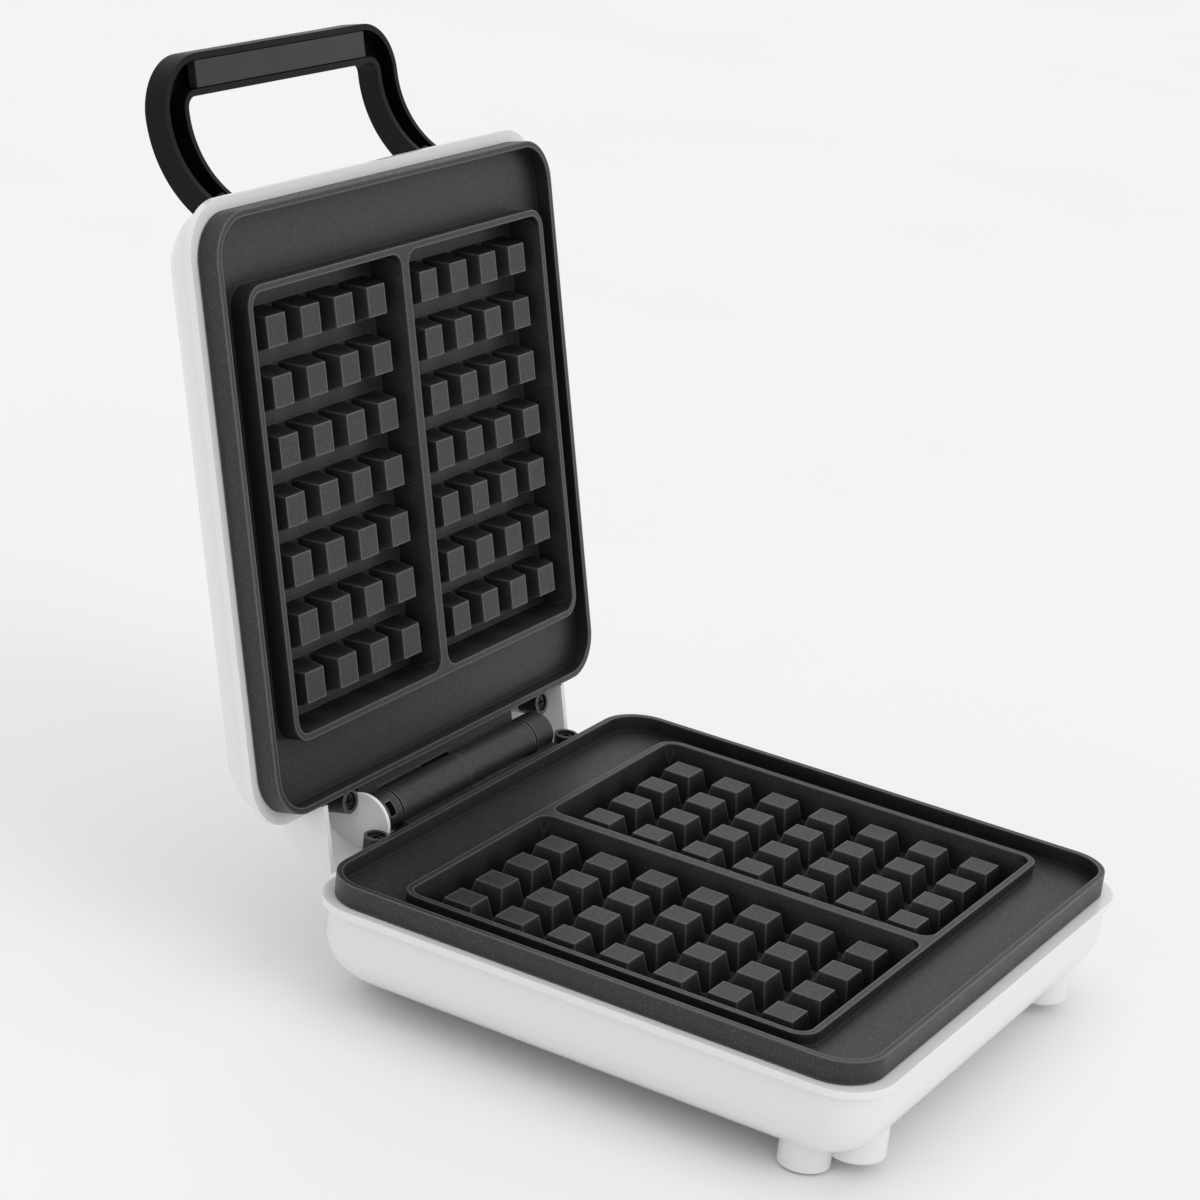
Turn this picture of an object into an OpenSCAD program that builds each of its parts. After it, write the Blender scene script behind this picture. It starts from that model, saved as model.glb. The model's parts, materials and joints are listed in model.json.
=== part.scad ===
// Waffle maker with a hinged lid. Each plate has two wells with a grid of
// tapered posts. The lid is drawn closed, then turned back onto its open stop.
// The origin is on the floor, under the middle of the open appliance.

/* [Shells] */
// Width over the lips of both shells
lip_w = 241; // [236:0.5:246]
// Depth over the lips of both shells
lip_d = 242; // [237:0.5:247]
// Corner radius of the lips
lip_r = 21; // [19:0.5:24]
// Thickness of the lips
lip_t = 3; // [2.5:0.1:3.5]
// How far a lip stands out from the wall below it
lip_out = 2.75; // [2:0.25:3.5]
// Wall thickness of both shells
wall = 2.5; // [2:0.1:3]
// Radius of the curve between the walls and the underside of the base
tub_curve = 20; // [16:0.5:22]
// Radius of the shoulder round the lid
shoulder_r = 24; // [22:0.5:26]
// Height of the crown above the shoulder of the lid
crown_h = 4; // [3:0.5:6]

/* [Plates] */
// Width of a plate over its rim
plate_w = 234.2; // [230:0.1:236]
// Depth of a plate over its rim
plate_d = 232.5; // [230:0.1:235]
// Corner radius of the rim
plate_r = 18; // [15:0.5:20]
// Thickness of the rim wall
rim_t = 2.5; // [2:0.1:3]
// Spacing of the posts across a well
pitch_x = 22.25; // [21.5:0.05:22.4]
// Spacing of the posts along a well
pitch_y = 23; // [22:0.1:23.2]
// Width of a post at its tip
post_tip = 12; // [10:0.5:13]
// Width of a post at its root
post_root = 17.5; // [16:0.5:18]
// Height of a post
post_h = 11.5; // [10:0.5:12]

/* [Hinge] */
// Distance of the hinge axis behind the middle of the plates
hinge_y = 130.5; // [130:0.1:131]
// Height of the hinge axis
hinge_z = 55.4; // [55:0.1:56]
// Radius of the hinge barrel
barrel_r = 9; // [8.5:0.1:9.3]
// Radius of the hollow hinge pins
pin_r = 5; // [4:0.1:6]
// Radial running clearance of the pins
pin_play = 0.05; // [0.02:0.01:0.1]
// Angle between the closed lid and its open stop
open_angle = 102.8; // [95:0.1:105]

/* [Handle] */
// Width over the legs of the handle
handle_w = 157; // [150:1:160]
// Width of the finger opening
window_w = 128; // [120:1:130]
// Distance of the grip's far edge in front of the middle of the plates
handle_reach = 171; // [165:1:180]
// Depth of the grip from front to back
grip_d = 16.2; // [14:0.2:18]
// Thickness of the handle
handle_t = 10; // [9:0.5:12]

/* [Feet] */
// Radius of a foot
foot_r = 10; // [9:0.5:11]
// Height of the shell's feet above the floor
foot_gap = 1; // [0.8:0.1:1.5]
// Radius of a rubber foot pad
pad_r = 8; // [6:0.5:8]

/* [Hidden] */

// Fineness of true circles, and the steps round the corners of the shells
round_fn = 48;
corner_step = 11.25;
// Posts across and along one well
cols = 4;
rows = 7;
// Small overlap that joins two solids of one piece
bite = 0.5;

// Heights of the closed appliance
tub_z = 10;
base_lip_z = 45.7;
lid_lip_z = 65.5;
lower_rim_z = 55.2;
upper_rim_z = 56;
shoulder_z = lid_lip_z + bite;

// Depths below the rim edge, the same way into either plate
margin_w = 6.7;
flange_w = 9;
lower_bead_w = 2.2;
lower_post_w = 5.2;
upper_bead_w = -1.8;
upper_post_w = 0.5;
floor_t = 4;

// The wells: a bead runs round each one
bead_t = 2.7;
well_gap = 4.8;
well_x = 2.4 + (cols * pitch_x + post_tip - 1.8) / 2;
well_w = 2 * (well_x - well_gap / 2);
well_d = rows * pitch_y + 9.6;
well_r = 6;
well_draft = 2.6;
pan_w = 2 * (well_x + well_w / 2 + bead_t);
pan_d = well_d + 2 * bead_t;

// Shells
body_w = lip_w - 2 * lip_out;
body_d = lip_d - 2 * lip_out;
body_r = lip_r - lip_out;
mouth_w = 224;
mouth_d = 224;
mouth_r = 14;
pillar_x = 83.5;
pillar_y = 103;
pillar_r = 11.5;
pillar_z = 5.5;
front_foot = [96, -89];
vent_w = 5;
vent_l = 70;
rear_foot = [60, 103];

// The crown of the lid: how far each step lies in from the shoulder, and its share of the rise
crown_steps = [[16, 0.4], [46, 0.85], [76, 1]];
crown_r = 12;

// Hinge hump at the back of the lid
hump_y = 120;
hump_z = 53;
hump_r = 24.3;
hump_x = 90;
hump_floor_z = 55.6;
hump_front_y = plate_d / 2 + 0.55;
cheek_x = 64.6;
cheek_t = 1.8;
cheek_r = 12;

// Hinge knuckles along X, and the play between them
knuckle_play = 0.25;
barrel_x = 50;
ring_in_x = 51;
ring_out_x = 64;
pin_bore_r = 3.2;
pin_fixed = 14;
guard_d = 4.5;
lead_x = -30;
lead_r = 2.8;
lead_entry = [lead_x, hinge_y - 20, hinge_z - 16.5];

// Hooks at the front of each plate
hook_x = 52;
hook_l = 16;
hook_t = 3;

// Screws: plate to shell, and the small ones behind the plates
boss_x = 72;
boss_y = 120;
boss_r = 5;
tower_h = 16;
screw_r = 2;
screw_hole_r = 2.2;
screw_head_r = 3.5;
screw_head_h = 2.2;
small_screw_r = 1.5;
small_head_r = 2.8;
small_head_h = 1.6;

// Heating element behind a plate
element_r = 3.2;
element_gap = 0.1;
loop_x = 70;
loop_y = 58;
loop_r = 22;
loop_end_x = 14;
loop_end_r = 12;
loop_end_y = 76;
element_pin_r = 1.2;
insulator_h = 6;
element_pin_h = 12;
clamp_spots = [[-loop_x, 10, 0], [loop_x, 10, 180], [-30, -loop_y, 90], [30, -loop_y, 90]];
clamp_reach = 9;
clamp_w = 10;
clamp_t = 1;
shield_w = 10;
shield_t = 0.8;
shield_size = [196, 166];
shield_spots = [for (x = [-1, 1], y = [-1, 1]) [x * 92, y * 72]];

// Handle: its legs follow an arc that is level where the grip starts
arc_y = -150;
arc_z = 62.5;
arc_r = 40;
leg_wall = 2.5;
handle_screw_x = 70.2;
handle_screw_a = 42.4;
handle_screw_r = 1.75;

// Electrical pieces
gland_x = 40;
gland_z = 31;
block_x = -40;
block_y = 84;
block_z = tub_z + wall + 5;
block_ways = [-15, -5, 5, 15];
gland_bore_r = 3.6;
gland_r = 6;
lamp_x = 14;
lamp_y = -78;
lens_r = 4;
lens_top_z = 92.3;
lens_flange_z = 88.3;
wire_r = 1.3;
sleeve_r = 2.2;
// No wire runs along this direction
wire_side = [0.36, 0.48, 0.8];

// The open lid reaches furthest back at the top of the grip
grip_back = [-handle_reach - hinge_y, arc_z + arc_r + handle_t - hinge_z];
open_back_y = hinge_y + grip_back[0] * cos(open_angle) + grip_back[1] * sin(open_angle);
y_mid = (open_back_y - lip_d / 2) / 2;

// ---------- Placing ----------

module on_base() {
    translate([0, -y_mid, 0]) children();
}

module on_lid() {
    on_base() translate([0, hinge_y, hinge_z]) rotate([-open_angle, 0, 0])
        translate([0, -hinge_y, -hinge_z]) children();
}

// Into a plate: local Z runs from its rim edge away from the food
module behind_lower() {
    translate([0, 0, lower_rim_z]) mirror([0, 0, 1]) children();
}

module behind_upper() {
    translate([0, 0, upper_rim_z]) children();
}

// A cylinder along X from x0 to x1, on the hinge axis
module on_axis(r, x0, x1) {
    translate([x0, hinge_y, hinge_z]) rotate([0, 90, 0])
        cylinder(h = x1 - x0, r = r, $fn = round_fn);
}

module pair_x() {
    for (side = [-1, 1]) scale([side, 1, 1]) children();
}

// ---------- Plain shapes ----------

module rounded_rect(w, d, r) {
    square([w - 2 * r, d], center = true);
    square([w, d - 2 * r], center = true);
    for (x = [-1, 1], y = [-1, 1])
        translate([x * (w / 2 - r), y * (d / 2 - r)]) circle(r, $fn = round_fn);
}

module slab(w, d, r, z0, z1) {
    translate([0, 0, z0]) linear_extrude(z1 - z0) rounded_rect(w, d, r);
}

// Points of a rounded rectangle at height z
function outline(w, d, r, z) = [for (q = [0:3], a = [0:corner_step:90])
    let (x = q == 0 || q == 3 ? w / 2 - r : r - w / 2, y = q < 2 ? d / 2 - r : r - d / 2)
    [x + r * cos(90 * q + a), y + r * sin(90 * q + a), z]];

// Solid through a list of outlines that all have as many points. Outlines that
// turn against each other need each side split into two triangles.
module skin(outlines, split = false) {
    n = len(outlines[0]);
    last = n * (len(outlines) - 1);
    sides = [for (i = [0:n:last - n], k = [0:n - 1])
        [i + k, i + n + k, i + n + (k + 1) % n, i + (k + 1) % n]];
    polyhedron([for (points = outlines) each points],
        [[for (k = [0:n - 1]) k], [for (k = [n - 1:-1:0]) last + k],
        for (side = sides) each split
            ? [[side[0], side[1], side[2]], [side[0], side[2], side[3]]] : [side]]);
}

module rod(a, b, r) {
    run = b - a;
    turn = atan2(norm([run[0], run[1]]), run[2]);
    translate(a) rotate([0, turn, atan2(run[1], run[0])])
        cylinder(h = norm(run), r = r, $fn = 20);
}

function unit(v) = v / norm(v);
function step(p, i) = i > 0 && i < len(p) ? unit(p[i] - p[i - 1]) : [0, 0, 0];
function wire_ring(p, i, r) = let (t = unit(step(p, i) + step(p, i + 1)),
    u = unit(cross(t, wire_side)), v = cross(t, u))
    [for (a = [0:45:315]) p[i] + r * (cos(a) * u + sin(a) * v)];

// Insulated wire through a list of points, with eight sides
module wire(points, r) {
    skin([for (i = [0:len(points) - 1]) wire_ring(points, i, r)], split = true);
}

// Pan-head screw: the head's underside is at z = 0 and the shank points down
module screw(shank_r, shank_h, head_r, head_h) {
    difference() {
        union() {
            cylinder(h = head_h, r = head_r, $fn = round_fn);
            translate([0, 0, -shank_h]) cylinder(h = shank_h + bite, r = shank_r, $fn = round_fn);
        }
        for (turn = [0, 90]) rotate(turn) translate([0, 0, head_h])
            cube([head_r * 1.3, head_r * 0.26, head_h], center = true);
    }
}

// ---------- Shells ----------

// Part of a rounded box whose wall has turned by a degrees into the curve
function bent(w, d, r, curve, a, z) = let (inset = curve * (1 - cos(a)))
    outline(w - 2 * inset, d - 2 * inset, r - 0.3 * inset, z);

module tub(w, d, r, curve, z0, z1, turn) {
    skin([for (a = [90:-turn:0]) bent(w, d, r, curve, a, z0 + curve * (1 - sin(a))),
        outline(w, d, r, z1)]);
}

module dome(w, d, r, curve, z0, crown, turn) {
    skin([for (a = [0:turn:90]) bent(w, d, r, curve, a, z0 + curve * sin(a)),
        for (step_in = crown_steps)
            outline(w - 2 * (curve + step_in[0]), d - 2 * (curve + step_in[0]), crown_r,
                z0 + curve + crown * step_in[1])]);
}

// Leads from the base reach the hinge barrel along this slanted bore
module lead_bore(r) {
    rod(lead_entry, [lead_x, hinge_y, hinge_z], r);
}

module base_shell() {
    color("white") on_base() {
        difference() {
            union() {
                tub(body_w, body_d, body_r, tub_curve, tub_z, base_lip_z - bite, 15);
                slab(lip_w, lip_d, lip_r, base_lip_z - lip_t, base_lip_z);
                pair_x() base_supports();
                pair_x() rear_tower();
            }
            difference() {
                tub(body_w - 2 * wall, body_d - 2 * wall, body_r - wall, tub_curve - wall,
                    tub_z + wall, base_lip_z - bite, 30);
                slab(lip_w, lip_d, lip_r, base_lip_z - lip_t, base_lip_z + 1);
            }
            slab(mouth_w, mouth_d, mouth_r, base_lip_z - lip_t - 2, base_lip_z + 1);
            pair_x() foot_pockets();
            for (x = [-45:18:45]) translate([x, 0, tub_z])
                cube([vent_w, vent_l, 4 * wall], center = true);
            lead_bore(lead_r + 0.7);
            translate([gland_x, body_d / 2 - 8, gland_z]) rotate([-90, 0, 0])
                cylinder(h = 12, r = gland_r, $fn = round_fn);
            pair_x() tower_bore();
        }
        terminal_boss();
    }
}

module base_supports() {
    for (y = [-1, 1]) translate([pillar_x, y * pillar_y, pillar_z])
        cylinder(h = 26, r = pillar_r, $fn = round_fn);
    for (spot = [front_foot, rear_foot]) translate([spot[0], spot[1], foot_gap])
        cylinder(h = 26, r = foot_r, $fn = round_fn);
}

module foot_pockets() {
    for (spot = [front_foot, rear_foot]) translate([spot[0], spot[1], 0])
        cylinder(h = foot_gap + 1.5, r = pad_r, $fn = round_fn);
}

// Tower behind the rear wall that takes a plate screw from above
module rear_tower() {
    translate([boss_x, boss_y, base_lip_z - tower_h])
        cylinder(h = tower_h, r = boss_r, $fn = round_fn);
}

module tower_bore() {
    translate([boss_x, boss_y, base_lip_z - tower_h + 4])
        cylinder(h = tower_h, r = screw_r, $fn = round_fn);
}

module terminal_boss() {
    translate([block_x, block_y, tub_z + wall - bite]) difference() {
        cylinder(h = 1.5, r = 3.5, $fn = round_fn);
        translate([0, 0, bite]) cylinder(h = 3, r = small_screw_r, $fn = round_fn);
    }
}

module foot_pads() {
    color("dimgray") on_base() pair_x()
        for (spot = [front_foot, rear_foot]) translate([spot[0], spot[1], 0])
            cylinder(h = foot_gap + 1.5, r = pad_r, $fn = round_fn);
}

module lid_shell() {
    color("white") on_lid() {
        difference() {
            union() {
                dome(body_w, body_d, body_r, shoulder_r, shoulder_z, crown_h, 15);
                slab(lip_w, lip_d, lip_r, lid_lip_z, lid_lip_z + lip_t);
                hump(hump_r, hump_x, hump_front_y, hump_floor_z);
            }
            difference() {
                dome(body_w - 2 * wall, body_d - 2 * wall, body_r - wall, shoulder_r - wall,
                    shoulder_z, crown_h, 30);
                slab(lip_w, lip_d, lip_r, lid_lip_z - 1, lid_lip_z + lip_t);
            }
            slab(mouth_w, mouth_d, mouth_r, lid_lip_z - 1, lid_lip_z + lip_t + 2);
            hump(hump_r - wall, hump_x - wall, hump_y - 12, hump_floor_z - 1);
            pair_x() at_handle_screw() cylinder(h = 30, r = handle_screw_r + 0.2, $fn = round_fn);
            for (x = [-lamp_x, lamp_x]) translate([x, lamp_y, lens_flange_z])
                cylinder(h = 10, r = lens_r + 0.1, $fn = round_fn);
        }
        pair_x() lid_tower();
        scale([-1, 1, 1]) cheek();
        pair_x() handle_boss();
        lamp_boss();
    }
}

// Half-round cover over the hinge barrel, open below
module hump(r, x, y0, z0) {
    intersection() {
        translate([-x, hump_y, hump_z]) rotate([0, 90, 0])
            cylinder(h = 2 * x, r = r, $fn = round_fn);
        translate([-x, y0, z0]) cube([2 * x, 2 * hump_r, 2 * hump_r]);
    }
}

module lid_tower() {
    translate([boss_x, boss_y, lid_lip_z]) difference() {
        cylinder(h = 10.5, r = boss_r, $fn = round_fn);
        translate([0, 0, -1]) cylinder(h = 8.5, r = screw_r, $fn = round_fn);
    }
}

// Rib beside the lid's end knuckle, round where it passes the hinge axis
module cheek() {
    translate([cheek_x, 0, 0]) rotate([90, 0, 90]) linear_extrude(cheek_t) {
        translate([hinge_y, hinge_z]) circle(cheek_r, $fn = round_fn);
        intersection() {
            translate([hinge_y - cheek_r, hinge_z]) square([2 * cheek_r, 20]);
            translate([hump_y, hump_z]) circle(hump_r - wall + bite, $fn = round_fn);
        }
    }
}

module at_handle_screw() {
    translate([handle_screw_x, shoulder_r - body_d / 2, shoulder_z])
        rotate([handle_screw_a, 0, 0]) children();
}

module handle_boss() {
    at_handle_screw() translate([0, 0, shoulder_r - wall - 2]) difference() {
        cylinder(h = 2.5, r = 4.5, $fn = round_fn);
        translate([0, 0, -1]) cylinder(h = 5, r = handle_screw_r + 0.2, $fn = round_fn);
    }
}

module lamp_boss() {
    translate([0, lamp_y, 86]) difference() {
        cylinder(h = 4, r = 3.5, $fn = round_fn);
        translate([0, 0, -1]) cylinder(h = 3.5, r = small_screw_r, $fn = round_fn);
    }
}

// ---------- Plates ----------

// Row of post outlines: tips at y = 0 and roots at y = post_h
module comb(count, pitch) {
    for (i = [0:count - 1]) translate([(i - (count - 1) / 2) * pitch, 0])
        polygon([[-post_tip / 2, 0], [post_tip / 2, 0], [post_root / 2, post_h + 1],
            [-post_root / 2, post_h + 1]]);
}

module posts() {
    intersection() {
        rotate([90, 0, 0]) linear_extrude(well_d, center = true) comb(cols, pitch_x);
        rotate([90, 0, 90]) linear_extrude(well_w, center = true) comb(rows, pitch_y);
    }
}

module draft_outline(width, depth) {
    polygon([[-width / 2, 0], [width / 2, 0], [width / 2 - well_draft, depth],
        [well_draft - width / 2, depth]]);
}

// Space for the batter, without the posts
module well_space(depth) {
    intersection() {
        rotate([90, 0, 0]) linear_extrude(2 * well_d, center = true)
            draft_outline(well_w, depth);
        rotate([90, 0, 90]) linear_extrude(2 * well_w, center = true)
            draft_outline(well_d, depth);
        slab(well_w, well_d, well_r, -1, depth + 1);
    }
}

module plate_casting(bead_w, post_w) {
    floor_w = post_w + post_h;
    back_w = floor_w + floor_t;
    difference() {
        union() {
            slab(plate_w, plate_d, plate_r, 0, flange_w);
            slab(pan_w, pan_d, well_r + bead_t, bead_w, back_w);
            plate_back(back_w);
            pair_x() plate_boss();
            pair_x() hook();
        }
        difference() {
            slab(plate_w - 2 * rim_t, plate_d - 2 * rim_t, plate_r - rim_t, -1, margin_w);
            slab(pan_w, pan_d, well_r + bead_t, bead_w, margin_w + 1);
        }
        for (x = [-well_x, well_x]) translate([x, 0, bead_w]) difference() {
            translate([0, 0, -0.01]) well_space(floor_w - bead_w + 0.01);
            translate([0, 0, post_w - bead_w]) posts();
        }
        pair_x() plate_screw_hole();
        back_holes(back_w);
    }
}

// Bosses for the element clamps and the heat shield
module plate_back(back_w) {
    for (spot = clamp_spots) translate([spot[0], spot[1], back_w - bite]) rotate(spot[2])
        translate([clamp_reach, 0, 0])
        cylinder(h = 2 * element_r + element_gap + bite, r = 4, $fn = round_fn);
    for (spot = shield_spots) translate([spot[0], spot[1], back_w - bite])
        cylinder(h = shield_w + bite, r = 4, $fn = round_fn);
}

module back_holes(back_w) {
    for (spot = clamp_spots) translate([spot[0], spot[1], back_w]) rotate(spot[2])
        translate([clamp_reach, 0, 0]) cylinder(h = 12, r = small_screw_r, $fn = round_fn);
    for (spot = shield_spots) translate([spot[0], spot[1], back_w])
        cylinder(h = 12, r = small_screw_r, $fn = round_fn);
}

module plate_boss() {
    translate([boss_x, boss_y, 0]) cylinder(h = flange_w, r = boss_r, $fn = round_fn);
    translate([boss_x - 3, boss_y - 7, 1]) cube([6, 7, flange_w - 1]);
}

module plate_screw_hole() {
    translate([boss_x, boss_y, -1]) {
        cylinder(h = flange_w + 2, r = screw_hole_r, $fn = round_fn);
        cylinder(h = 1 + 3, r = screw_head_r + 0.2, $fn = round_fn);
    }
}

// Tab at the front that hooks under the lip of the shell
module hook() {
    tab_y = mouth_d / 2 - 0.4;
    translate([hook_x, -tab_y, flange_w - bite]) cube([hook_l, hook_t, 7.2]);
    translate([hook_x, -tab_y - hook_t, flange_w + 0.5 + lip_t + 0.4])
        cube([hook_l, 2 * hook_t, 2.8]);
}

module web(x0, x1, z0, z1) {
    translate([x0, plate_d / 2 - bite, z0])
        cube([x1 - x0, hinge_y - plate_d / 2 - 2, z1 - z0]);
}

// Strip behind the rim that closes the view past the other plate's half barrel
module guard(x0, x1, z0, z1) {
    translate([x0, plate_d / 2 - bite, z0]) cube([x1 - x0, guard_d + bite, z1 - z0]);
}

module lower_waffle_plate() {
    color([0.25, 0.26, 0.27]) on_base() difference() {
        union() {
            behind_lower() plate_casting(lower_bead_w, lower_post_w);
            on_axis(barrel_r, -barrel_x, -knuckle_play);
            web(-barrel_x, -knuckle_play, lower_rim_z - flange_w, lower_rim_z - 2);
            on_axis(barrel_r, ring_in_x, ring_out_x);
            web(ring_in_x, ring_out_x, lower_rim_z - flange_w, lower_rim_z - 2);
            guard(-bite, ring_in_x + bite, lower_rim_z - flange_w, lower_rim_z - 2);
        }
        on_axis(pin_r, -barrel_x - 1, lead_x + 6);
        on_axis(pin_r, ring_in_x - 1, ring_out_x + 1);
        lead_bore(lead_r);
    }
}

module upper_waffle_plate() {
    color([0.25, 0.26, 0.27]) on_lid() difference() {
        union() {
            behind_upper() plate_casting(upper_bead_w, upper_post_w);
            on_axis(barrel_r, knuckle_play, barrel_x);
            web(knuckle_play, barrel_x, upper_rim_z + 1.5, upper_rim_z + flange_w);
            on_axis(barrel_r, -ring_out_x, -ring_in_x);
            web(-ring_out_x, -ring_in_x, upper_rim_z + 1.5, upper_rim_z + flange_w);
            guard(-ring_in_x - bite, bite, upper_rim_z + 1.5, upper_rim_z + flange_w);
        }
        on_axis(pin_r + pin_play, barrel_x - pin_fixed - 1, barrel_x + 1);
        on_axis(pin_r + pin_play, -ring_out_x - 1, -ring_in_x + 1);
        rod([-60, hinge_y, hinge_z], [-60, hinge_y, hinge_z + 12], lead_r);
        translate([-57.5, hinge_y, hinge_z]) rotate([-25, 0, 0]) translate([-2, -3, -12])
            cube([4, 6, 10]);
    }
}

module plate_screws(z) {
    translate([0, 0, z]) pair_x() translate([boss_x, boss_y, 3]) mirror([0, 0, 1])
        screw(screw_r, 14, screw_head_r, screw_head_h);
}

module lower_plate_screws() {
    color("silver") on_base() behind_lower() plate_screws(0);
}

module upper_plate_screws() {
    color("silver") on_lid() behind_upper() plate_screws(0);
}

// ---------- Hinge pins ----------

module hinge_pin(x0, x1) {
    difference() {
        on_axis(pin_r, x0, x1);
        on_axis(pin_bore_r, x0 - 1, x1 + 1);
    }
}

module hinge_pin_left() {
    color("silver") on_base() hinge_pin(-57, -barrel_x + pin_fixed);
}

module hinge_pin_right() {
    color("silver") on_base() hinge_pin(barrel_x - pin_fixed, ring_out_x);
}

// ---------- Heating elements ----------

// Quarter bend from +X towards +Y about the local origin
module bend(bend_r, r) {
    rotate_extrude(angle = 90, $fn = round_fn) translate([bend_r, 0]) circle(r, $fn = 24);
}

module element_half() {
    inner_x = loop_end_x + loop_end_r;
    rod([0, -loop_y, 0], [loop_x - loop_r, -loop_y, 0], element_r);
    translate([loop_x - loop_r, loop_r - loop_y, 0]) rotate(-90) bend(loop_r, element_r);
    rod([loop_x, loop_r - loop_y, 0], [loop_x, loop_y - loop_r, 0], element_r);
    translate([loop_x - loop_r, loop_y - loop_r, 0]) bend(loop_r, element_r);
    rod([inner_x, loop_y, 0], [loop_x - loop_r, loop_y, 0], element_r);
    translate([inner_x, loop_y + loop_end_r, 0]) rotate(180) bend(loop_end_r, element_r);
    rod([loop_end_x, loop_y + loop_end_r, 0], [loop_end_x, loop_end_y, 0], element_r);
    rod([loop_end_x, loop_end_y - 1, 0], [loop_end_x, loop_end_y + element_pin_h, 0],
        element_pin_r);
}

module heating_element(post_w) {
    translate([0, 0, element_w(post_w)]) pair_x() element_half();
}

module element_insulators(post_w) {
    translate([0, 0, element_w(post_w)]) pair_x()
        translate([loop_end_x, loop_end_y, 0]) rotate([-90, 0, 0]) difference() {
            cylinder(h = insulator_h, r = element_r - 0.2, $fn = round_fn);
            translate([0, 0, -1]) cylinder(h = insulator_h + 2, r = element_pin_r, $fn = 24);
        }
}

module element_clamps(post_w) {
    clamp_z = post_w + post_h + floor_t + 2 * element_r + element_gap;
    for (spot = clamp_spots) translate([spot[0], spot[1], clamp_z]) rotate(spot[2])
        difference() {
            translate([-4, -clamp_w / 2, 0]) cube([clamp_reach + 9, clamp_w, clamp_t]);
            translate([clamp_reach, 0, -1]) cylinder(h = 4, r = small_screw_r + 0.2, $fn = 24);
        }
}

module heat_shield(post_w, cut_out) {
    translate([0, 0, post_w + post_h + floor_t + shield_w]) difference() {
        union() {
            slab(shield_size[0], shield_size[1], 8, 0, shield_t);
            difference() {
                slab(shield_size[0], shield_size[1], 8, -3, shield_t);
                slab(shield_size[0] - 2 * shield_t, shield_size[1] - 2 * shield_t,
                    8 - shield_t, -4, shield_t + 1);
            }
        }
        for (spot = shield_spots) translate([spot[0], spot[1], -1])
            cylinder(h = 4, r = small_screw_r + 0.2, $fn = 24);
        translate([0, 0, -1]) linear_extrude(4) square(cut_out, center = true);
    }
}

module inner_screws(post_w) {
    back_w = post_w + post_h + floor_t;
    clamp_z = back_w + 2 * element_r + element_gap + clamp_t;
    for (spot = clamp_spots) translate([spot[0], spot[1], clamp_z]) rotate(spot[2])
        translate([clamp_reach, 0, 0]) screw(small_screw_r, 6, small_head_r, small_head_h);
    for (spot = shield_spots) translate([spot[0], spot[1], back_w + shield_w + shield_t])
        screw(small_screw_r, 8, small_head_r, small_head_h);
}

module lower_heating_element() {
    color("gray") on_base() behind_lower() heating_element(lower_post_w);
}

module upper_heating_element() {
    color("gray") on_lid() behind_upper() heating_element(upper_post_w);
}

module lower_element_insulators() {
    color("ivory") on_base() behind_lower() element_insulators(lower_post_w);
}

module upper_element_insulators() {
    color("ivory") on_lid() behind_upper() element_insulators(upper_post_w);
}

module lower_element_clamps() {
    color("silver") on_base() behind_lower() element_clamps(lower_post_w);
}

module upper_element_clamps() {
    color("silver") on_lid() behind_upper() element_clamps(upper_post_w);
}

module lower_heat_shield() {
    color("lightgray") on_base() behind_lower() heat_shield(lower_post_w, [44, 24]);
}

module upper_heat_shield() {
    color("lightgray") on_lid() behind_upper() heat_shield(upper_post_w, [10, 10]);
}

module lower_inner_screws() {
    color("silver") on_base() behind_lower() inner_screws(lower_post_w);
}

module upper_inner_screws() {
    color("silver") on_lid() behind_upper() inner_screws(upper_post_w);
}

// ---------- Controls and wiring ----------

module thermostat() {
    back_w = lower_post_w + post_h + floor_t;
    color("tan") on_base() behind_lower() translate([0, 0, back_w]) {
        slab(36, 12, 4, 0, 1);
        translate([0, 0, 1 - bite]) cylinder(h = 9, r = 8, $fn = round_fn);
        for (x = [-5, 5]) translate([x - 0.4, -3, 9]) cube([0.8, 6, 7]);
    }
}

module thermal_fuse() {
    back_w = lower_post_w + post_h + floor_t;
    color("silver") on_base() behind_lower() translate([0, 34, back_w + 2.1]) {
        rod([-6, 0, 0], [6, 0, 0], 2);
        rod([-14, 0, 0], [14, 0, 0], 0.6);
    }
}

module terminal_block() {
    color("ivory") on_base() translate([block_x, block_y, block_z]) difference() {
        translate([-21, -7, -4]) cube([42, 14, 8]);
        translate([0, 0, -5]) cylinder(h = 12, r = small_screw_r + 0.2, $fn = 24);
        for (x = block_ways) translate([x, 0, 0]) rotate([90, 0, 0])
            cylinder(h = 20, r = wire_r, center = true, $fn = 24);
    }
}

module terminal_block_screw() {
    color("silver") on_base() translate([block_x, block_y, block_z + 4])
        screw(small_screw_r, 8.5, small_head_r, small_head_h);
}

// Bush through the rear wall where the mains lead enters
module cord_gland() {
    color("dimgray") on_base() translate([gland_x, body_d / 2, gland_z]) rotate([-90, 0, 0])
        difference() {
            union() {
                cylinder(h = 2.5, r = gland_r + 2, $fn = round_fn);
                translate([0, 0, -6]) cylinder(h = 7, r = gland_r, $fn = round_fn);
            }
            translate([0, 0, -7]) cylinder(h = 12, r = gland_bore_r, $fn = round_fn);
        }
}

// Depth below the rim edge at which the element's ends lie
function element_w(post_w) = post_w + post_h + floor_t + element_r + element_gap;

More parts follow.
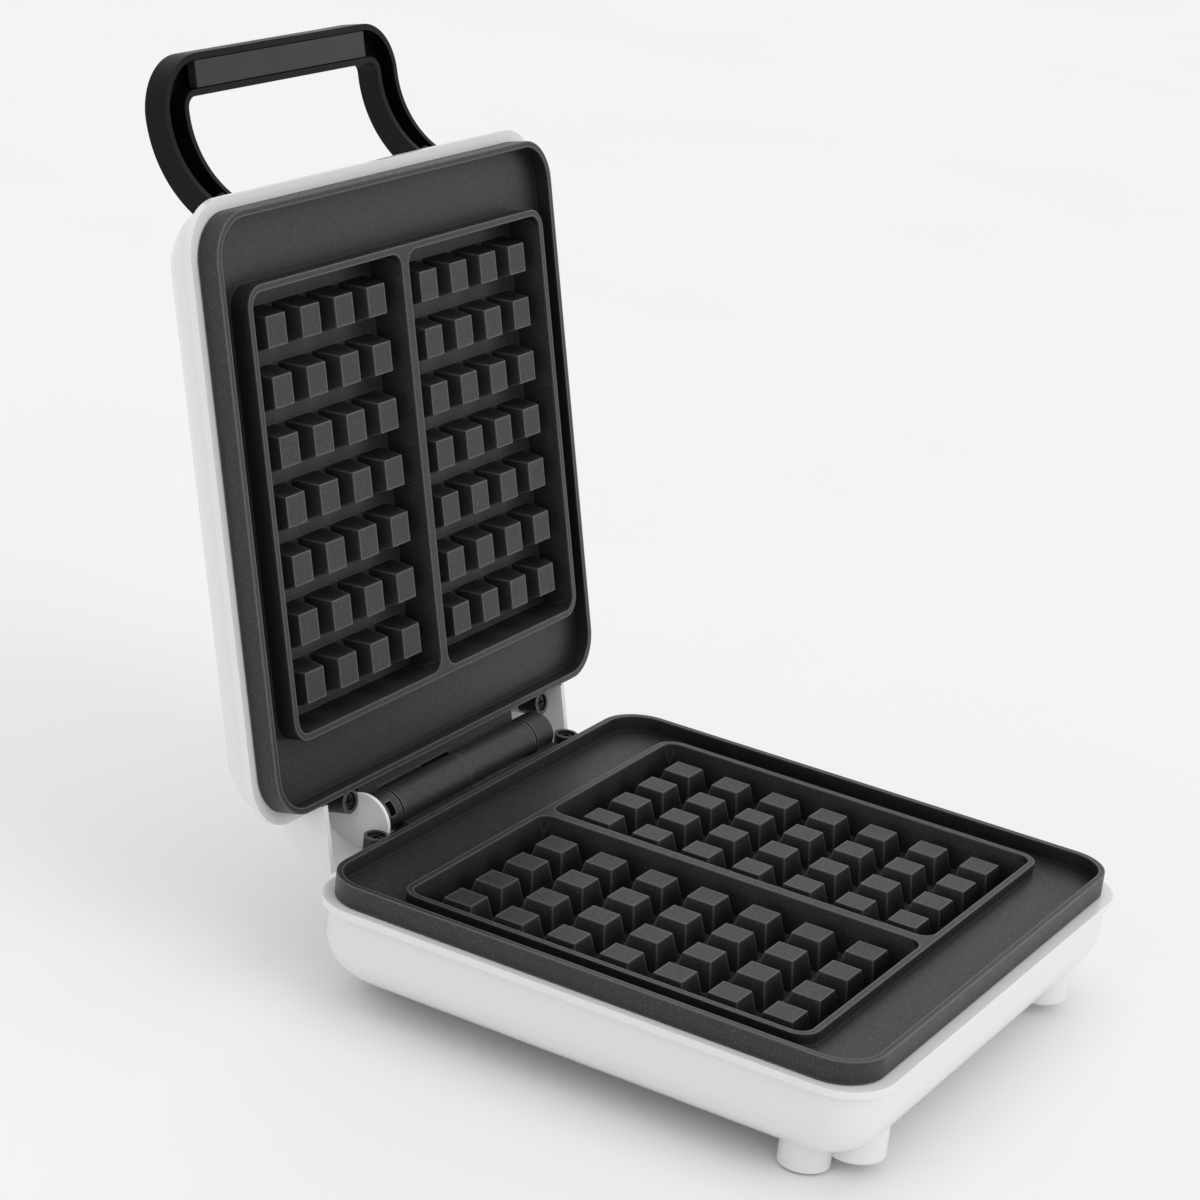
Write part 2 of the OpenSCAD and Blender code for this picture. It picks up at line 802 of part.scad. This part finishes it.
module base_wiring() {
    element_z = lower_rim_z - element_w(lower_post_w);
    pin_end_y = loop_end_y + element_pin_h;
    ways = [for (x = block_ways) block_x + x];
    low_z = block_z - 2.8;
    color("firebrick") on_base() {
        wire([each leaving(ways[3], 1), [ways[3], 99, 22], [-loop_end_x, 99, element_z],
            [-loop_end_x, pin_end_y, element_z]], wire_r);
        wire([each leaving(ways[2], 1), [ways[2], 97, low_z], [loop_end_x, 97, low_z],
            [loop_end_x, 98, element_z], [loop_end_x, pin_end_y, element_z]], wire_r);
        wire([each leaving(ways[0], -1), [ways[0], 71, low_z], [-5, 6, low_z],
            [-5, 0, 17.2]], wire_r);
        wire([each leaving(ways[3], -1), [ways[3], 71, low_z], [5, 6, low_z],
            [5, 0, 17.2]], wire_r);
        wire([each leaving(ways[1], 1), [ways[1], 98, 21], [lead_x, 107, 34],
            lead_entry, [lead_x, hinge_y, hinge_z], [-57, hinge_y, hinge_z]], wire_r);
    }
}

// First two points of a wire that comes straight out of the terminal block
function leaving(x, side) = [[x, block_y + 3 * side, block_z], [x, block_y + 9 * side, block_z]];

module lid_wiring() {
    element_z = upper_rim_z + element_w(upper_post_w);
    pin_end_y = loop_end_y + element_pin_h;
    split = [-54, 112, 72];
    color("firebrick") on_lid() {
        wire([[-57, hinge_y, hinge_z], [-60, hinge_y, hinge_z], [-60, hinge_y, 68], split],
            sleeve_r);
        wire([split, [-loop_end_x, 98, element_z], [-loop_end_x, pin_end_y, element_z]],
            wire_r);
        wire([split + [0, 0, 1], [-50, 110, 76.5], [loop_end_x, 100, 79],
            [loop_end_x, 96, element_z], [loop_end_x, pin_end_y, element_z]], wire_r);
        wire([split + [0, 0, 1], [-58, 100, 83], [-58, 90, 85], [-40, -60, 85.2],
            [-26, lamp_y, 85.2], [-20, lamp_y, 85.2]], wire_r);
    }
}

module lens() {
    translate([0, lamp_y, 0]) difference() {
        union() {
            translate([0, 0, lens_flange_z - 1]) cylinder(h = 1, r = lens_r + 1, $fn = round_fn);
            translate([0, 0, lens_flange_z - bite])
                cylinder(h = lens_top_z - lens_flange_z + bite, r = lens_r, $fn = round_fn);
        }
        translate([0, 0, lens_flange_z - 2]) cylinder(h = 5, r = 2.8, $fn = round_fn);
    }
}

module power_lamp_lens() {
    color("red") on_lid() translate([-lamp_x, 0, 0]) lens();
}

module ready_lamp_lens() {
    color("green") on_lid() translate([lamp_x, 0, 0]) lens();
}

module indicator_lamps() {
    color("orange") on_lid() for (x = [-lamp_x, lamp_x]) translate([x, lamp_y, 86])
        cylinder(h = 3.8, r = 2.2, $fn = round_fn);
}

module lamp_holder() {
    color("ivory") on_lid() translate([0, lamp_y, 84.2]) difference() {
        translate([-20, -5, 0]) cube([40, 10, 1.8]);
        translate([0, 0, -1]) cylinder(h = 4, r = small_screw_r + 0.2, $fn = 24);
    }
}

module lamp_holder_screw() {
    color("silver") on_lid() translate([0, lamp_y, 84.2]) mirror([0, 0, 1])
        screw(small_screw_r, 4, small_head_r, 1);
}

// ---------- Handle ----------

// Outline seen from above: far corners rounded, open towards the lid
module bar_outline(w, y0, r) {
    translate([-w / 2, y0 + r]) square([w, -100 - y0 - r]);
    translate([r - w / 2, y0]) square([w - 2 * r, r + 1]);
    for (x = [-1, 1]) translate([x * (w / 2 - r), y0 + r]) circle(r, $fn = round_fn);
}

// Outline seen from the side, between two distances from the arc's centre
module side_outline(r0, r1, y0) {
    translate([arc_y, arc_z]) intersection() {
        difference() {
            circle(r1, $fn = 96);
            circle(r0, $fn = 96);
        }
        square([60, 60]);
    }
    translate([y0, arc_z + r0]) square([arc_y - y0, r1 - r0]);
}

module sideways(x) {
    rotate([90, 0, 90]) linear_extrude(2 * x, center = true) children();
}

module handle() {
    grip_y = -handle_reach;
    color([0.12, 0.12, 0.12]) on_lid() difference() {
        union() {
            difference() {
                intersection() {
                    sideways(100) side_outline(arc_r, arc_r + handle_t, grip_y);
                    linear_extrude(130) difference() {
                        bar_outline(handle_w, grip_y, 22);
                        bar_outline(window_w, grip_y + grip_d, 4.5);
                    }
                }
                intersection() {
                    sideways(100) side_outline(arc_r - 1, arc_r + handle_t - leg_wall, grip_y);
                    linear_extrude(130) difference() {
                        bar_outline(handle_w - 2 * leg_wall, grip_y + leg_wall, 22 - leg_wall);
                        bar_outline(window_w + 2 * leg_wall, grip_y + grip_d - leg_wall,
                            4.5 + leg_wall);
                    }
                }
            }
            pair_x() at_handle_screw() translate([0, 0, 20]) cylinder(h = 12, r = 4.2,
                $fn = round_fn);
        }
        translate([0, shoulder_r - body_d / 2, shoulder_z]) rotate([0, 90, 0])
            cylinder(h = 300, r = shoulder_r + 0.05, center = true, $fn = 96);
        pair_x() at_handle_screw() cylinder(h = 30, r = handle_screw_r, $fn = round_fn);
    }
}

module handle_grip_insert() {
    play = 0.2;
    depth = grip_d - 2 * leg_wall - 2 * play;
    color([0.2, 0.2, 0.2]) on_lid()
        translate([0, -handle_reach + leg_wall + play, arc_z + arc_r + 0.2])
        translate([-57, 0, 0]) cube([114, depth, 4]);
}

module handle_screws() {
    color("silver") on_lid() pair_x() at_handle_screw()
        translate([0, 0, shoulder_r - wall - 2]) rotate([180, 0, 0])
        screw(handle_screw_r, 10, 3.2, 1.8);
}

base_shell();
foot_pads();
lower_waffle_plate();
lower_heating_element();
lower_element_insulators();
lower_element_clamps();
lower_heat_shield();
lower_plate_screws();
lower_inner_screws();
thermostat();
thermal_fuse();
terminal_block();
terminal_block_screw();
cord_gland();
base_wiring();
hinge_pin_left();
hinge_pin_right();
lid_shell();
upper_waffle_plate();
upper_heating_element();
upper_element_insulators();
upper_element_clamps();
upper_heat_shield();
upper_plate_screws();
upper_inner_screws();
handle();
handle_grip_insert();
handle_screws();
power_lamp_lens();
ready_lamp_lens();
indicator_lamps();
lamp_holder();
lamp_holder_screw();
lid_wiring();
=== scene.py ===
"""Open waffle maker: finishes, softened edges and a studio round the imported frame."""
import json
import math

import bpy
from mathutils import Matrix, Vector

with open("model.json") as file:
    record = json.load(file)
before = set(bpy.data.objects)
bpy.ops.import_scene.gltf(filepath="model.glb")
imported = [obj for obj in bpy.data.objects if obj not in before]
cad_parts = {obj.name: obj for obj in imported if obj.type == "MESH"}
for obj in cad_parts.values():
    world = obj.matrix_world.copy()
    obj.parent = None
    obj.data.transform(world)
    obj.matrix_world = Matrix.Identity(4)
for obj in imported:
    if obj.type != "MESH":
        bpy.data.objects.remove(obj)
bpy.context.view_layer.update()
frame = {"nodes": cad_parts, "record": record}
NODES = frame["nodes"]
MM = 0.001

# ---------- Camera ----------

# Direction of the camera, its roll, and where it stands in millimetres
CAMERA_AZIMUTH, CAMERA_ELEVATION, CAMERA_ROLL = -61.634, 19.797, 6.494
CAMERA_SHIFT_X, CAMERA_SHIFT_Y, CAMERA_DISTANCE = 51.295, -110.417, 1292.41
# The point that those three are measured from, in millimetres
CAMERA_ORIGIN = Vector((0.0, -65.99, 50.0))
CAMERA_LENS, CAMERA_SENSOR = 98.65, 36.0
CAMERA_CLIP_START, CAMERA_CLIP_END = 0.05, 20.0


def make_camera():
    """Puts the camera where the photo was taken from."""
    a, e = math.radians(CAMERA_AZIMUTH), math.radians(CAMERA_ELEVATION)
    roll = math.radians(CAMERA_ROLL)
    back = Vector((math.sin(a) * math.cos(e), -math.cos(a) * math.cos(e), math.sin(e)))
    level = Vector((0, 0, 1)).cross(back).normalized()
    rise = back.cross(level)
    right = math.cos(roll) * level + math.sin(roll) * rise
    up = -math.sin(roll) * level + math.cos(roll) * rise
    turn = Matrix((right, up, back)).transposed()
    offset = Vector((CAMERA_SHIFT_X, CAMERA_SHIFT_Y, -CAMERA_DISTANCE))
    place = (CAMERA_ORIGIN - turn @ offset) * MM
    data = bpy.data.cameras.new("camera")
    data.lens, data.sensor_width, data.sensor_fit = CAMERA_LENS, CAMERA_SENSOR, "AUTO"
    data.clip_start, data.clip_end = CAMERA_CLIP_START, CAMERA_CLIP_END
    camera = bpy.data.objects.new("camera", data)
    camera.matrix_world = Matrix.Translation(place) @ turn.to_4x4()
    bpy.context.scene.collection.objects.link(camera)
    bpy.context.scene.camera = camera


# ---------- Materials ----------

# Samples that the edge and recess masks take at each point
EDGE_SAMPLES, RECESS_SAMPLES = 4, 6
# Match of a rounded and a plain normal on open surface, and at a full edge
FLAT_MATCH, EDGE_MATCH = 0.998, 0.93
# Strip along the edges of a moulding that is painted lighter, and along the coating's edges that
# carry a painted highlight, in metres
MOULDING_EDGE, COATING_EDGE = 0.0006, 0.0013
# Middle part of a noise that sets roughness
NOISE_LOW, NOISE_HIGH = 0.3, 0.7
# Roughness of the clear coat on glossy mouldings
COAT_ROUGHNESS = 0.06
# Tone of the non-stick coating, and how far its drift, specks, painted shade in recesses and
# painted highlight on edges depart from it
COATING_TONE = (0.022, 0.022, 0.022)
COATING_DARK, COATING_LIGHT, COATING_SPECK = 0.9, 1.12, 3.0
COATING_RECESS_SHADE, COATING_EDGE_HIGHLIGHT = 0.2, 5.5
# Size of the specks as Voronoi distances, from none to full
SPECK_EDGE, SPECK_CORE = 0.3, 0.12
# How far out a recess is looked for, in metres, and the openness at which the painted shade is
# darkest and at which it stops
RECESS_REACH = 0.012
RECESS_DARK, RECESS_PLAIN = 0.35, 0.95


class Paint:
    """Builds one procedural material, in object coordinates of one unit per metre."""

    def __init__(self, name):
        self.material = bpy.data.materials.new(name)
        self.material.use_nodes = True
        self.tree = self.material.node_tree
        self.shader = self.tree.nodes["Principled BSDF"]
        self.place = self.tree.nodes.new("ShaderNodeTexCoord").outputs["Object"]

    def link(self, a, b):
        """Joins output a to input b."""
        self.tree.links.new(a, b)

    def fixed(self, **sockets):
        """Sets the shader's own sockets to values that are the same all over."""
        for name, value in sockets.items():
            self.shader.inputs[name.replace("_", " ")].default_value = value
        return self

    def noise(self, scale, detail=2.0, rough=0.5, stretch=None):
        """Noise with scale cycles per metre, stretched along the axes if asked."""
        node = self.tree.nodes.new("ShaderNodeTexNoise")
        node.inputs["Scale"].default_value = scale
        node.inputs["Detail"].default_value = detail
        node.inputs["Roughness"].default_value = rough
        if stretch:
            mapping = self.tree.nodes.new("ShaderNodeMapping")
            mapping.inputs["Scale"].default_value = stretch
            self.link(self.place, mapping.inputs["Vector"])
            self.link(mapping.outputs["Vector"], node.inputs["Vector"])
        else:
            self.link(self.place, node.inputs["Vector"])
        return node.outputs["Fac"]

    def specks(self, scale):
        """Distance to the nearest of points that lie about 1 / scale metres apart."""
        node = self.tree.nodes.new("ShaderNodeTexVoronoi")
        node.inputs["Scale"].default_value = scale
        self.link(self.place, node.inputs["Vector"])
        return node.outputs["Distance"]

    def edges(self, reach):
        """1 within reach metres of an edge or crease, and 0 on open surface."""
        rounded = self.tree.nodes.new("ShaderNodeBevel")
        rounded.samples = EDGE_SAMPLES
        rounded.inputs["Radius"].default_value = reach
        match = self.tree.nodes.new("ShaderNodeVectorMath")
        match.operation = "DOT_PRODUCT"
        self.link(rounded.outputs["Normal"], match.inputs[0])
        plain = self.tree.nodes.new("ShaderNodeNewGeometry").outputs["Normal"]
        self.link(plain, match.inputs[1])
        return self.spread(match.outputs["Value"], FLAT_MATCH, EDGE_MATCH)

    def both(self, first, second):
        """The product of two masks."""
        node = self.tree.nodes.new("ShaderNodeMath")
        node.operation = "MULTIPLY"
        self.link(first, node.inputs[0])
        self.link(second, node.inputs[1])
        return node.outputs["Value"]

    def openness(self, reach):
        """1 on open surface and less in recesses, looking reach metres out."""
        node = self.tree.nodes.new("ShaderNodeAmbientOcclusion")
        node.samples = RECESS_SAMPLES
        node.inputs["Distance"].default_value = reach
        return node.outputs["AO"]

    def spread(self, source, low, high, start=0.0, end=1.0):
        """source rescaled, so that low..high becomes start..end."""
        node = self.tree.nodes.new("ShaderNodeMapRange")
        ends = {"From Min": low, "From Max": high, "To Min": start, "To Max": end}
        for name, value in ends.items():
            node.inputs[name].default_value = value
        self.link(source, node.inputs["Value"])
        return node.outputs["Result"]

    def blend(self, fac, a, b):
        """A colour between a and b; each is a colour or a socket."""
        node = self.tree.nodes.new("ShaderNodeMix")
        node.data_type = "RGBA"
        self.link(fac, node.inputs["Factor"])
        # Sockets 6 and 7 are the colours A and B, and output 2 is the colour result
        for socket, value in ((node.inputs[6], a), (node.inputs[7], b)):
            if isinstance(value, tuple):
                socket.default_value = (*value, 1.0)
            else:
                self.link(value, socket)
        return node.outputs[2]

    def colour(self, source):
        """Feeds the base colour."""
        self.link(source, self.shader.inputs["Base Color"])
        return self

    def roughness(self, source):
        """Feeds the roughness."""
        self.link(source, self.shader.inputs["Roughness"])
        return self

    def bump(self, *layers):
        """Each layer is (height socket, strength, depth in metres)."""
        previous = None
        for height, strength, depth in layers:
            node = self.tree.nodes.new("ShaderNodeBump")
            node.inputs["Strength"].default_value = strength
            node.inputs["Distance"].default_value = depth
            self.link(height, node.inputs["Height"])
            if previous:
                self.link(previous, node.inputs["Normal"])
            previous = node.outputs["Normal"]
        self.link(previous, self.shader.inputs["Normal"])
        return self


def shaded(tone, factor):
    """tone made lighter or darker."""
    return tuple(min(1.0, c * factor) for c in tone)


def moulding(name, tone, rough, grain, depth, drift=0.06, coat=0.0, edge_lift=1.0, gloss=0.5):
    """Moulded plastic or rubber: slow colour drift, surface grain, edges painted lighter."""
    paint = Paint(name)
    drifted = paint.blend(paint.noise(9.0, 3.0), shaded(tone, 1 - drift), shaded(tone, 1 + drift))
    # Edges are painted lighter than the tone by the given factor
    paint.colour(paint.blend(paint.edges(MOULDING_EDGE), drifted, shaded(tone, edge_lift)))
    fine = paint.noise(grain, 2.0, 0.6)
    patches = paint.noise(35.0, 4.0)
    paint.roughness(paint.spread(patches, NOISE_LOW, NOISE_HIGH, rough * 0.85, rough * 1.15))
    paint.bump((fine, 0.35, depth))
    return paint.fixed(Coat_Weight=coat, Coat_Roughness=COAT_ROUGHNESS,
                       Specular_IOR_Level=gloss).material


def metal(name, tone, rough, stretch=(1.0, 1.0, 12.0), drift=0.12):
    """Drawn or brushed steel: stretched scratches and a slow change of tone."""
    paint = Paint(name).fixed(Metallic=1.0)
    patches = paint.noise(40.0, 4.0)
    paint.colour(paint.blend(patches, shaded(tone, 1 - drift), shaded(tone, 1 + drift)))
    lines = paint.noise(700.0, 2.0, 0.6, stretch)
    paint.roughness(paint.spread(lines, NOISE_LOW, NOISE_HIGH, rough * 0.8, rough * 1.25))
    return paint.bump((lines, 0.25, 0.00003)).material


def non_stick():
    """Sprayed coating on cast aluminium: pale specks, orange peel, painted shade in recesses,
    painted highlight on edges.
    """
    paint = Paint("non_stick_coating")
    ground = paint.blend(paint.noise(14.0, 3.0), shaded(COATING_TONE, COATING_DARK),
                         shaded(COATING_TONE, COATING_LIGHT))
    speck = paint.spread(paint.specks(750.0), SPECK_EDGE, SPECK_CORE)
    speckled = paint.blend(speck, ground, shaded(COATING_TONE, COATING_SPECK))
    # Painted shade: the coating is darkened where ambient occlusion finds recesses, between the
    # posts and next to other pieces
    depth = paint.spread(paint.openness(RECESS_REACH), RECESS_DARK, RECESS_PLAIN)
    recess_shade = paint.blend(depth, shaded(COATING_TONE, COATING_RECESS_SHADE), speckled)
    # Painted highlight: the coating's open edges are painted much lighter, as if catching the
    # light; edges inside recesses are left out
    edge_highlight_mask = paint.both(paint.edges(COATING_EDGE), depth)
    paint.colour(paint.blend(edge_highlight_mask, recess_shade, shaded(COATING_TONE, COATING_EDGE_HIGHLIGHT)))
    peel = paint.noise(520.0, 3.0, 0.6)
    paint.roughness(paint.spread(peel, NOISE_LOW, NOISE_HIGH, 0.36, 0.48))
    paint.bump((peel, 0.35, 0.00006), (paint.noise(2400.0, 2.0), 0.3, 0.00002))
    return paint.fixed(Specular_IOR_Level=0.42).material


# The finish of each material slot of the record
FINISHES = {
    "white_shell": moulding("white_shell_moulding", (0.80, 0.80, 0.79), rough=0.22,
                            grain=260.0, depth=0.00002, drift=0.012, coat=0.35, edge_lift=1.02),
    "plate_coating": non_stick(),
    "black_handle": moulding("black_handle_moulding", (0.0025, 0.0025, 0.0025), rough=0.42,
                             grain=1400.0, depth=0.00003, drift=0.12, edge_lift=2.5, gloss=0.16),
    "grip_insert": moulding("grip_insert_moulding", (0.017, 0.017, 0.018), rough=0.5,
                            grain=2200.0, depth=0.00006, drift=0.12, edge_lift=2.0),
    "black_rubber": moulding("black_rubber", (0.028, 0.028, 0.028), rough=0.7,
                             grain=1800.0, depth=0.00008, drift=0.15, edge_lift=1.6),
    "ivory_insulator": moulding("ivory_insulator", (0.72, 0.66, 0.52), rough=0.5,
                                grain=1300.0, depth=0.00005),
    "wire_insulation": moulding("wire_insulation", (0.42, 0.06, 0.045), rough=0.55,
                                grain=1500.0, depth=0.0001, drift=0.1),
    "red_lens": moulding("red_lens", (0.5, 0.02, 0.015), rough=0.12,
                         grain=300.0, depth=0.00002, drift=0.05, coat=0.5),
    "green_lens": moulding("green_lens", (0.02, 0.32, 0.06), rough=0.12,
                           grain=300.0, depth=0.00002, drift=0.05, coat=0.5),
    "lamp_glass": moulding("lamp_envelope", (0.6, 0.35, 0.12), rough=0.1,
                           grain=400.0, depth=0.00002, drift=0.05, coat=0.5),
    "element_sheath": metal("element_sheath", (0.30, 0.28, 0.26), rough=0.45),
    "black_screw": metal("blackened_steel", (0.05, 0.05, 0.052), rough=0.4),
    "screw_steel": metal("screw_steel", (0.46, 0.46, 0.48), rough=0.32),
    "shield_sheet": metal("shield_sheet", (0.72, 0.72, 0.73), rough=0.3,
                          stretch=(1.0, 14.0, 1.0)),
}


# ---------- Carried-over nodes ----------

# Radius in metres of the softened edges of each node that shows
EDGES = {
    "base_shell": 0.0008, "lid_shell": 0.0008, "lower_waffle_plate": 0.0005,
    "upper_waffle_plate": 0.0005, "handle": 0.0007, "handle_grip_insert": 0.0006,
    "foot_pads": 0.0005, "cord_gland": 0.0005, "lower_plate_screws": 0.0002,
    "upper_plate_screws": 0.0002, "power_lamp_lens": 0.0005, "ready_lamp_lens": 0.0005,
}
# Angle from which an edge is softened, and segments across the softened edge
SHARP = math.radians(28)
EDGE_SEGMENTS = 3
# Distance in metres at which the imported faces' corners are joined
WELD_REACH = 0.00002
# Weight of the faces' areas in the smooth shading: the middle of Blender's 1 to 100
FACE_WEIGHT = 50


def soften(node, radius):
    """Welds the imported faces, rounds the sharp edges and keeps the flat faces' shading flat."""
    weld = node.modifiers.new("weld", "WELD")
    weld.merge_threshold = WELD_REACH
    bevel = node.modifiers.new("bevel", "BEVEL")
    bevel.width, bevel.segments, bevel.limit_method = radius, EDGE_SEGMENTS, "ANGLE"
    bevel.angle_limit = SHARP
    bevel.face_strength_mode = "FSTR_ALL"
    even = node.modifiers.new("even", "WEIGHTED_NORMAL")
    even.weight, even.keep_sharp, even.use_face_influence = FACE_WEIGHT, False, True


def finish_nodes():
    """Gives each CAD node its slot's finish, and softens the nodes that show."""
    for part in frame["record"]["subparts"]:
        node = NODES[part["node"]]
        finish = FINISHES[part["material_slot"]]
        materials = node.data.materials
        for k in range(len(materials)):
            materials[k] = finish
        if not materials:
            materials.append(finish)
        if part["node"] in EDGES:
            soften(node, EDGES[part["node"]])


# ---------- Studio ----------

# Strength of the sky as light, and as the camera sees it
SKY_LIGHT, SKY_SEEN = 0.82, 1.0
# Half the side of the square floor, in metres, and its darkest and lightest tone
FLOOR_HALF = 4.0
FLOOR_DARK, FLOOR_LIGHT = (0.86, 0.86, 0.86), (0.9, 0.9, 0.9)
FLOOR_ROUGHNESS = 0.6
# Name, direction it comes from, strength and width in degrees of each soft sun
SUNS = (("front", (-0.1, -1.0, 0.8), 0.55, 40.0),
        ("overhead", (0.1, 0.15, 1.5), 0.35, 60.0))


def make_floor():
    """The plain paper that the waffle maker stands on."""
    mesh = bpy.data.meshes.new("floor")
    corners = [(x * FLOOR_HALF, y * FLOOR_HALF, 0)
               for x, y in ((-1, -1), (1, -1), (1, 1), (-1, 1))]
    mesh.from_pydata(corners, [], [(0, 1, 2, 3)])
    floor = bpy.data.objects.new("floor", mesh)
    bpy.context.scene.collection.objects.link(floor)
    paint = Paint("floor_paper")
    paint.colour(paint.blend(paint.noise(3.0, 3.0), FLOOR_DARK, FLOOR_LIGHT))
    mesh.materials.append(paint.fixed(Roughness=FLOOR_ROUGHNESS).material)


def soft_sun(name, source, strength, spread):
    """Light from the direction of source, as wide as spread in degrees."""
    data = bpy.data.lights.new(name, "SUN")
    data.energy, data.angle = strength, math.radians(spread)
    light = bpy.data.objects.new(name, data)
    light.rotation_euler = (-Vector(source)).to_track_quat("-Z", "Y").to_euler()
    bpy.context.scene.collection.objects.link(light)


def make_lights():
    """An even white sky and two weak soft suns."""
    world = bpy.data.worlds.new("studio")
    bpy.context.scene.world = world
    world.use_nodes = True
    nodes, links = world.node_tree.nodes, world.node_tree.links
    nodes["Background"].inputs["Color"].default_value = (1.0, 1.0, 1.0, 1.0)
    seen = nodes.new("ShaderNodeLightPath").outputs["Is Camera Ray"]
    strength = nodes.new("ShaderNodeMapRange")
    strength.inputs["To Min"].default_value = SKY_LIGHT
    strength.inputs["To Max"].default_value = SKY_SEEN
    links.new(seen, strength.inputs["Value"])
    links.new(strength.outputs["Result"], nodes["Background"].inputs["Strength"])
    for sun in SUNS:
        soft_sun(*sun)


make_camera()
finish_nodes()
make_floor()
make_lights()
bpy.context.scene.view_settings.view_transform = "Standard"
